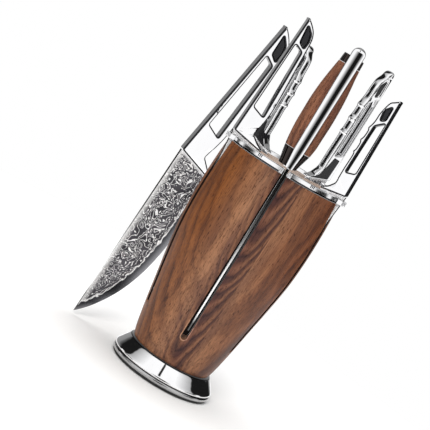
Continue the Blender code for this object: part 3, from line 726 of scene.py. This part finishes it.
def blade_half(part, half):
    """Half a blade's thickness at a share of its width. It eases down, then is ground to the edge."""
    if part < GROUND_FROM:
        ease = 1.0 - 0.38 * (part / GROUND_FROM) ** 1.6
    else:
        ease = 0.62 * (1 - (part - GROUND_FROM) / (1 - GROUND_FROM)) ** 0.9
    spine = 0.82 + 0.18 * min(1.0, part / BLADE_ACROSS[1])
    return max(half * ease, EDGE_HALF) * spine


def make_blade(name, size, material, place):
    """A blade with a flat spine, a slightly convex face and a ground edge, lofted along its length."""
    sections = []
    edge_mm = []
    heel_mm = []
    spine_mm = []
    for step in range(BLADE_STATIONS + 1):
        along = math.sin(math.pi / 2 * step / BLADE_STATIONS)
        width = blade_width(along, size["width"])
        half = BLADE_HALF * (1.0 - 0.55 * along)
        drop = 0.3 + along * size["blade"]
        slope = size["slope"] * (1.0 - along)
        side = [(part * width, blade_half(part, half)) for part in BLADE_ACROSS]
        loop = side + [(x, -y) for x, y in reversed(side)]
        sections.append([(x, y, -drop - slope * x) for x, y in loop])
        edge_mm += [width - x for x, _ in loop]
        heel_mm += [along * size["blade"]] * len(loop)
        spine_mm += [x for x, _ in loop]
    points, faces = loft(sections)
    mesh = bpy.data.meshes.new(name)
    mesh.from_pydata([point * MM for point in points], [], faces)
    for key, values in (("edge_mm", edge_mm), ("heel_mm", heel_mm), ("spine_mm", spine_mm)):
        layer = mesh.attributes.new(key, "FLOAT", "POINT")
        layer.data.foreach_set("value", values)
    face_outwards(mesh, False)
    mesh.materials.append(material)
    shade(mesh)
    obj = link(name, mesh)
    obj.matrix_world = place
    return obj


def make_handle(name, size, looks, place):
    """An open-frame handle that widens into a guard. A guard without the painted dark plate thins towards the
    edge.
    """
    outline = [Vector((0.0, 0.0)), *smooth_line(handle_outline(size["top"] + size["belly"], size), 4)]
    outline += [guard_point(0.8, 4.2, size), guard_point(1.0, 2.2, size), guard_point(1.0, 0.0, size)]
    holes = [rounded(handle_outline(size[window], size), WINDOW_CORNER) for window in ("window", "pommel")]
    grip = plate(name, rounded(outline, HANDLE_CORNER), holes, HANDLE_HALF, size["bevel"], looks, None,
                 size["round_over"])
    for vertex in grip.data.vertices:
        reach = vertex.co.x / MM / size["width"]
        if reach > TAPER_FROM and vertex.co.z / MM < 0.1 * size["handle"] and not size["dark_guard_patch"]:
            vertex.co.y *= 1.0 - 1.1 * (reach - TAPER_FROM)
    grip.data.transform(place)
    return grip


def skeleton_knife(body, size, place, looks):
    """An open-frame knife with a dark pommel inlay, and on some a black plate over the guard: a painted dark
    reflection.
    """
    steel = make_blade(body + "_blade_detailed", size, looks["damascus"], place)
    keep(steel, body, "blade_steel", body + "_blade", mirrored=False)
    # Plain and ridged handles get a near-black painted dark reflection on their rounded edges.
    metal = (looks["chrome"], looks["chrome" if size["dark_guard_patch"] else "painted_dark_reflection"])
    grip = make_handle(body + "_handle_detailed", size, metal, place)
    keep(grip, body, "chrome", body + "_handle")
    hole = counterclockwise(rounded(handle_outline(size["pommel"], size), WINDOW_CORNER))
    inlay = plate(body + "_inlay_detailed", shrunk(hole, 0.3), (), INLAY_HALF, 0.4, (looks["resin"],), place)
    keep(inlay, body, "black_inlay", body + "_pommel_inlay")
    # A black plate over the guard: a painted dark reflection.
    if size["dark_guard_patch"]:
        outline = handle_outline(GUARD_DARK_PATCH, size)
        outline += [guard_point(share, above, size)
                    for share, above in ((0.66, 6.0), (0.80, 3.3), (0.93, 1.6), (0.16, 1.6))]
        outline = counterclockwise(rounded(outline, 1.2))
        dark_patch = plate(body + "_guard_painted_reflection_detailed", outline, (), DARK_PATCH_HALF, 0.2, (looks["resin"],), place)
        keep(dark_patch, body, "black_inlay")


def core_half(height):
    """Half the thickness of the front knife's bar at one height."""
    for (low, first), (high, last) in zip(CORE_SECTIONS, CORE_SECTIONS[1:]):
        if height <= high:
            return first + (last - first) * (height - low) / (high - low)
    return CORE_SECTIONS[-1][1]


def core_shape():
    """The front knife's steel bar: a slot-shaped section, flatter on the spine's side, with a domed top."""
    levels = [(height, core_half(height), 0.0) for height in CORE_LEVELS]
    start, whole = CORE_SECTIONS[-1]
    for step in range(1, 16):
        angle = math.pi / 2 * step / 16
        half = whole * math.cos(angle)
        levels.append((start + whole * math.sin(angle), half, whole - half))
    sections = []
    for height, half, shrink in levels:
        low = CORE_SPINE + shrink + half * (1.0 - FLAT_FRONT)
        high = CORE_BELLY - shrink - half
        loop = arc((high, 0.0), (half, half), -math.pi / 2, math.pi, 16)
        loop += arc((low, 0.0), (half * (1.0 - FLAT_FRONT), half), math.pi / 2, math.pi, 16)
        sections.append([(x, y, height) for x, y in loop])
    return loft(sections)


def cheek_shape(sections, side, steps):
    """A rounded cheek on one side of the core, smooth along its length."""
    loops = []
    for height, depth, right, left in smooth_line(sections, steps):
        bulge = right if side > 0 else left
        flat = core_half(height) + 0.02
        loop = []
        for step in range(25):
            angle = math.pi * step / 24
            out = flat + bulge * math.sin(angle) ** 0.8 + 0.5 * min(1.0, 6 * math.sin(angle))
            loop.append((CHEEK_CENTRE - depth * math.cos(angle), side * out, height))
        loops.append(loop)
    return loft(loops)


def pin_shape(height, left, right):
    """A rivet across the front knife, with chamfered ends, from its left to its right."""
    flat = core_half(height) + 0.4
    ends = ((-flat - left, 0.7), (-flat - left + 0.3, 1.0), (flat + right - 0.3, 1.0), (flat + right, 0.7))
    loops = []
    for out, share in ends:
        circle = arc((CHEEK_CENTRE, height), (PIN_RADIUS * share,) * 2, 0.0, 2 * math.pi, 32)[:-1]
        loops.append([(x, out, z) for x, z in circle])
    return loft(loops)


def front_knife(place, looks):
    """The knife with wooden scales on a steel bar. The handle has a kink too, like the others."""
    body = "front_knife"
    kinked = place @ Matrix.Rotation(FRONT_KINK, 4, "Y")
    steel = make_blade("front_knife_blade_detailed", FRONT, looks["damascus"], place)
    keep(steel, body, "blade_steel", "front_knife_blade", mirrored=False)
    core = make_object("front_knife_core_detailed", *core_shape(), looks["chrome"], kinked)
    keep(core, body, "chrome", "front_knife_core")
    for word, side in (("left", -1), ("right", 1)):
        shape = cheek_shape(SCALE_SECTIONS, side, 6)
        scale = make_object("front_knife_scale_detailed_" + word, *shape, looks["grip_wood"], kinked, 50.0)
        soften_edges(scale, 0.15)
        keep(scale, body, "walnut", "front_knife_scale_" + word, mirrored=False)
        for label, sections in (("bolster_", BOLSTER_SECTIONS), ("end_cap_", END_SECTIONS)):
            name = "front_knife_" + label + "detailed_" + word
            # Bolsters and end caps are near-black with a warm cast: a painted dark reflection of studio and
            # wood.
            trim = make_object(name, *cheek_shape(sections, side, 4), looks["dark_trim_reflection"], kinked, 50.0)
            soften_edges(trim, 0.15)
            keep(trim, body, "chrome", "front_knife_" + label + word)
    for word, height, left, right in PINS:
        shape = pin_shape(height, left, right)
        pin = make_object("front_knife_pin_detailed_" + word, *shape, looks["steel"], kinked)
        keep(pin, body, "steel", "front_knife_pin_" + word)


# ---- block

def slot_shape(degrees, inner, width, bottom):
    """The space of one slot: open at the top, with a round end at the bottom."""
    half = width / 2
    top = 218.0
    section = [(half, top), (-half, top), *arc((0.0, bottom + half), (half, half), math.pi, math.pi, 16)]
    return toward(loft([[(reach, y, z) for y, z in section] for reach in (inner, 75.0)]), degrees)


def slot_end(degrees):
    """How far above the table a knife's slot ends."""
    return FRONT_SLOT_END if degrees == 0.0 else SLOT_END


def slot_cutter(extra):
    """The cutter for every slot, with a little extra width."""
    shapes = [slot_shape(angle, SLOT_INNER, SLOT_WIDTH + extra, slot_end(angle) - extra / 2)
              for angle in KNIFE_SLOTS]
    shapes.append(slot_shape(CHEF_SLOT, CHEF_SLOT_INNER, CHEF_SLOT_WIDTH + extra, CHEF_SLOT_END - extra / 2))
    return make_object("slot_cutter", *joined(shapes), None)


def lug_shapes(degrees, width):
    """Two ribbed lugs beside one slot, as rounded posts on the cap's rim."""
    inner = 51.5
    half = 0.78
    shapes = []
    for side in (-1, 1):
        for offset, reach in ((0.95, 59.3), (2.55, 58.6)):
            middle = side * (width / 2 + offset)
            levels = []
            for z, grow in ((204.5, 0.72), (205.0, 0.95), (206.0, 1.0), (207.4, 1.0), (208.2, 0.92),
                            (208.6, 0.6)):
                wide = half * grow
                loop = arc((reach - half, middle), (wide, wide), -math.pi / 2, math.pi, 8)
                loop += [(inner, middle + wide), (inner, middle - wide)]
                levels.append([(x, y, z) for x, y in loop])
            shapes.append(toward(loft(levels), degrees))
    return shapes


def rim_ribs(degrees):
    """Three short ribs side by side on the outside of the cap's rim."""
    inner, outer = 52.6, 54.0
    depth, half = 0.4, 0.42
    shapes = []
    for middle in (-1.5, 0.0, 1.5):
        levels = []
        for z, grow in ((206.2, 0.6), (206.5, 1.0), (208.3, 1.0), (208.7, 0.7)):
            wide = half * grow
            loop = [(inner, middle + wide)]
            loop += arc((outer, middle), (depth * grow, wide), math.pi / 2, -math.pi, 6)
            loop += [(inner, middle - wide)]
            levels.append([(x, y, z) for x, y in loop])
        shapes.append(toward(loft(levels), degrees))
    return shapes


def darken(obj, look, chosen):
    """Gives a second material to the faces whose middle is chosen."""
    obj.data.materials.append(look)
    for face in obj.data.polygons:
        if chosen(obj.matrix_world @ face.center / MM):
            face.material_index = 1


def block(looks):
    cutter = slot_cutter(0.0)
    wood_cutter = slot_cutter(WOOD_SETBACK)
    wooden_body(wood_cutter, looks)
    cap(cutter, looks)
    bpy.data.objects.remove(cutter)
    bpy.data.objects.remove(wood_cutter)


def wooden_body(cutter, looks):
    """The turned body. Slot walls: painted shade, but a lighter plain tone just above their ends."""
    side = [tuple(point) for point in smooth_line(WOOD_SIDE[1:], 4)]
    wood = [(0.0, 31.0), (10.0, 31.0), (10.0, 19.8), WOOD_SIDE[0], *side, (0.0, 203.7)]
    body = make_object("block_wood", *lathe(wood), looks["walnut"])
    cut(body, cutter)
    body.data.materials.append(looks["slot_wood"])
    body.data.materials.append(looks["edge_wood"])
    for face in body.data.polygons:
        middle = face.center / MM
        outer = min(WOOD_SIDE, key=lambda point: abs(point[1] - middle.z))[0]
        if math.hypot(middle.x, middle.y) < outer - 3.0 and middle.z < 203.0:
            front = abs(middle.x) < 4.0 and middle.y < 0.0
            end = FRONT_SLOT_END if front else SLOT_END
            # Faces inside the slots are painted dark as shade, except just above a slot's end.
            face.material_index = 2 if middle.z < end + UNSHADED_END else 1
    soften_edges(body, 0.45, look=2)
    keep(body, "block", "walnut", "block_body", mirrored=False)


def cap(cutter, looks):
    """The chrome cap with its lugs and ribs, and the wood disc let into it."""
    rim = [(53.2, 204.0), (53.8, 204.3), (54.05, 205.2), (54.07, 205.6), (54.1, 206.4), (54.05, 207.8),
           (53.8, 208.6), (53.2, CAP_TOP), (50.5, CAP_TOP), (49.9, 208.7), (49.6, 208.0), (49.6, 204.8)]
    metal = make_object("cap_metal", *lathe([(0.0, 204.0), *rim, (0.0, 204.8)]), looks["cap_chrome"])
    cut(metal, cutter)
    # Painted dark reflection: the cap's lower rim is near-black.
    darken(metal, looks["painted_dark_reflection"], lambda middle: middle.z < 205.5)
    keep(metal, "block", "chrome", "top_cap", mirrored=False)
    lugs = []
    for angle in KNIFE_SLOTS:
        lugs += lug_shapes(angle, SLOT_WIDTH)
    lugs += lug_shapes(CHEF_SLOT, CHEF_SLOT_WIDTH)
    posts = make_object("cap_lugs", *joined(lugs), looks["chrome"])
    # The lugs' bevels take the painted dark reflection.
    posts.data.materials.append(looks["painted_dark_reflection"])
    soften_edges(posts, 0.2, 2, look=1)
    keep(posts, "block", "chrome")
    ribs = make_object("cap_ribs", *joined(rim_ribs(27.0) + rim_ribs(-27.0)), looks["resin"])
    keep(ribs, "block", "black_inlay")
    disc = [(0.0, 205.1), (49.2, 205.1), (49.2, 205.7), (49.0, 205.9), (0.0, 205.9)]
    inlay = make_object("cap_inlay_wood", *lathe(disc), looks["end_grain"])
    cut(inlay, cutter)
    keep(inlay, "block", "pale_walnut", "top_inlay", mirrored=False)


def base(looks):
    """The chrome skirt, which turns with the block, and the lip and pad that it turns on."""
    inside = [(4.2, 19.5), (4.2, 16.2), (34.6, 16.2)]
    skirt = make_object("base_skirt_detailed", *lathe([*SKIRT_SIDE, *inside]), looks["chrome"])
    # Painted dark reflection and shade: near-black bands along the skirt's top and bottom edges.
    darken(skirt, looks["painted_dark_reflection"], lambda middle: middle.z > 18.95 or middle.z < 6.7)
    keep(skirt, "block", "chrome", "base_skirt")
    bore = [(3.3, 8.6), (3.3, 6.3), (7.0, 6.3), (7.0, 2.3)]
    lip = make_object("base_lip_detailed", *lathe([*PLATE_SIDE, *bore]), looks["dark_chrome"])
    keep(lip, "foot", "dark_chrome", "foot_plate")
    edge = [(0.0, 0.0), (45.0, 0.0), (45.4, 0.15), (45.6, 0.5), (45.6, 2.0), (0.0, 2.0)]
    pad = make_object("foot_pad_detailed", *lathe(edge), looks["rubber"])
    keep(pad, "foot", "rubber", "foot_pad")


# ---- stage

def studio_world():
    """White to the camera. Gloss sees a studio: a white front, dark flags at the sides and grey behind."""
    world = bpy.data.worlds.new("studio")
    bpy.context.scene.world = world
    world.use_nodes = True
    world.node_tree.nodes.clear()
    n = Nodes.__new__(Nodes)
    n.tree = world.node_tree
    black = (0.008,) * 3
    x, y, z = n.split(n.make("ShaderNodeTexCoord").outputs["Generated"])
    azimuth = n.times(n.math("ARCTAN2", x, n.times(y, -1.0)), 180 / math.pi)
    elevation = n.times(n.math("ARCSINE", z), 180 / math.pi)
    side = n.math("DIVIDE", n.math("ABSOLUTE", azimuth), 180.0)
    low = n.ramp(side, ((0.0, 1.0), (0.345, 1.0), (0.385, 0.01), (0.525, 0.01), (0.545, 1.0), (0.60, 1.0),
                        (0.615, 0.01), (0.67, 0.01), (0.685, 0.20), (0.90, 0.30), (1.0, 0.9)))
    high = n.ramp(side, ((0.0, 1.0), (0.28, 1.0), (0.51, 0.40), (0.525, 0.010), (0.77, 0.010), (0.785, 0.20),
                         (1.0, 0.30)))
    flag = n.band(azimuth, (112.0, 116.0), (154.0, 150.0))
    low = n.mix(flag, low, (0.01,) * 3)
    ring = n.mix(n.span(elevation, 12.0, 22.0), low, high)
    stripe = n.times(n.band(azimuth, (-19.0, 0.0), (33.0, 15.0)), n.span(elevation, 44.0, 36.0))
    ring = n.mix(stripe, ring, black)
    seam = n.times(n.band(azimuth, (-3.6, -2.6), (5.2, 4.2)), n.band(elevation, (50.0, 54.0), (86.0, 82.0)))
    ring = n.mix(seam, ring, black)

    def background(colour, strength):
        return n.make("ShaderNodeBackground", {"Color": colour, "Strength": strength}).outputs[0]

    white = (1.0,) * 4
    rays = n.make("ShaderNodeLightPath").outputs
    unseen = {0: rays["Is Glossy Ray"], 1: background(white, 0.50), 2: background(ring, 1.08)}
    unseen = n.make("ShaderNodeMixShader", unseen).outputs[0]
    choose = {0: rays["Is Camera Ray"], 1: unseen, 2: background(white, 1.0)}
    n.make("ShaderNodeOutputWorld", {"Surface": n.make("ShaderNodeMixShader", choose).outputs[0]})


def area_light(name, spot, target, size, power, colour):
    """A round lamp that mirror rays don't see."""
    data = bpy.data.lights.new(name, "AREA")
    data.shape = "DISK"
    data.size = size
    data.energy = power
    data.color = colour
    lamp = link(name, data)
    lamp.location = spot
    lamp.rotation_euler = (Vector(target) - Vector(spot)).to_track_quat("-Z", "Y").to_euler()
    lamp.visible_glossy = False


def floor():
    """White paper that glows more away from the block, so that its shadow fades out."""
    n = Nodes("floor_white")
    grain = n.noise(n.place(), (6.0,) * 3, 2.0)
    n.set(Base_Color=n.mix(grain, (0.95,) * 3, (0.98, 0.98, 0.975)), Roughness=0.9)
    reach = n.make("ShaderNodeVectorMath", {"Vector": n.place()}, operation="LENGTH").outputs["Value"]
    glow = n.mix(n.span(reach, 0.055, 0.17), (0.03,) * 3, (0.6,) * 3)
    n.set(Specular_IOR_Level=0.1, Emission_Color=glow, Emission_Strength=0.5)
    just_below = (0.0, 0.0, -0.0002)
    bpy.ops.mesh.primitive_circle_add(vertices=96, radius=0.5, fill_type="NGON", location=just_below)
    ground = bpy.context.object
    ground.name = "floor"
    ground.data.materials.append(n.material)


def camera():
    """A long lens from the front and a little above, rolled so that the block leans in the picture."""
    data = bpy.data.cameras.new("camera")
    data.lens = 118.5
    cam = link("camera", data)
    distance, height = 1.18, 0.2926
    azimuth = math.radians(-2.0)
    roll = math.radians(31.48)
    target = Vector((-0.0300, 0.0, 0.1412))
    cam.location = (distance * math.sin(azimuth), -distance * math.cos(azimuth), height)
    aim = (target - cam.location).to_track_quat("-Z", "Y").to_matrix().to_4x4()
    cam.matrix_world = Matrix.Translation(cam.location) @ aim @ Matrix.Rotation(roll, 4, "Z")
    bpy.context.scene.camera = cam


def all_looks():
    """Every material, by the name that the pieces call it."""
    tones = (srgb(146, 102, 74), srgb(120, 80, 58), srgb(90, 60, 50), srgb(62, 42, 40))
    grip_tones = (srgb(140, 93, 69), srgb(110, 70, 53), srgb(78, 48, 39), srgb(52, 32, 28))
    return {
        "walnut": walnut("walnut_block", (0.004, -0.085, 0.0), 0.0105, tones, (0.03, -0.13), 1.0, True),
        "grip_wood": walnut("walnut_grip", (0.021, 0.012, 0.10), 0.0045, grip_tones, (0.16, 0.10), 0.6),
        # The slots' walls: painted shade.
        "slot_wood": slot_wood("walnut_slot_painted_shade", srgb(14, 9, 8), srgb(30, 20, 17)),
        "edge_wood": slot_wood("walnut_edge", srgb(132, 92, 68), srgb(158, 116, 90)),
        "end_grain": end_grain("walnut_end_grain"),
        "chrome": polished("chrome_polished", (0.93, 0.93, 0.94), 0.03, 0.07),
        "cap_chrome": polished("chrome_cap", (0.93, 0.93, 0.94), 0.16, 0.19),
        # Near-black chrome for bevels and rims: a painted dark reflection.
        "painted_dark_reflection": polished("chrome_painted_dark_reflection", (0.035, 0.035, 0.038), 0.06, 0.12),
        # Near-black chrome for the front knife's trim: a painted dark reflection.
        "dark_trim_reflection": polished("chrome_trim_painted_reflection", (0.045, 0.036, 0.034), 0.05, 0.10),
        "dark_chrome": polished("chrome_dark", (0.48, 0.48, 0.485), 0.12, 0.22),
        "steel": brushed("steel_turned", (0.62, 0.62, 0.63), 0.25, 0.4, (40.0, 40.0, 1800.0)),
        "rubber": rubber("rubber_black"),
        "resin": resin("resin_black_and_painted_reflection"),
        "damascus": damascus("steel_layered"),
    }


def main():
    bpy.context.scene.view_settings.view_transform = "Standard"
    camera()
    studio_world()
    floor()
    area_light("key", (-0.35, -1.5, 1.0), (0.0, 0.0, 0.12), 0.7, 17.0, (1.0, 0.98, 0.95))
    area_light("top", (0.1, 0.2, 1.6), (0.0, 0.0, 0.0), 1.2, 9.0, (1.0, 1.0, 1.0))
    looks = all_looks()
    block(looks)
    base(looks)
    skeleton_knife("chef_knife", CHEF, chef_place(), looks)
    knives = (("left", LEFT, -72.0), ("right", RIGHT, 72.0),
              ("back_left", BACK_LEFT, -140.0), ("back_right", BACK_RIGHT, 140.0))
    for word, size, degrees in knives:
        skeleton_knife(word + "_knife", size, slotted_place(degrees, GUARD_RISE), looks)
    front_knife(slotted_place(0.0, FRONT_RISE), looks)
    # What is left of the CAD is the bearing and its fasteners.
    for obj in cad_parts.values():
        if not obj.hide_render:
            obj.data.materials.clear()
            obj.data.materials.append(looks["steel"])


main()
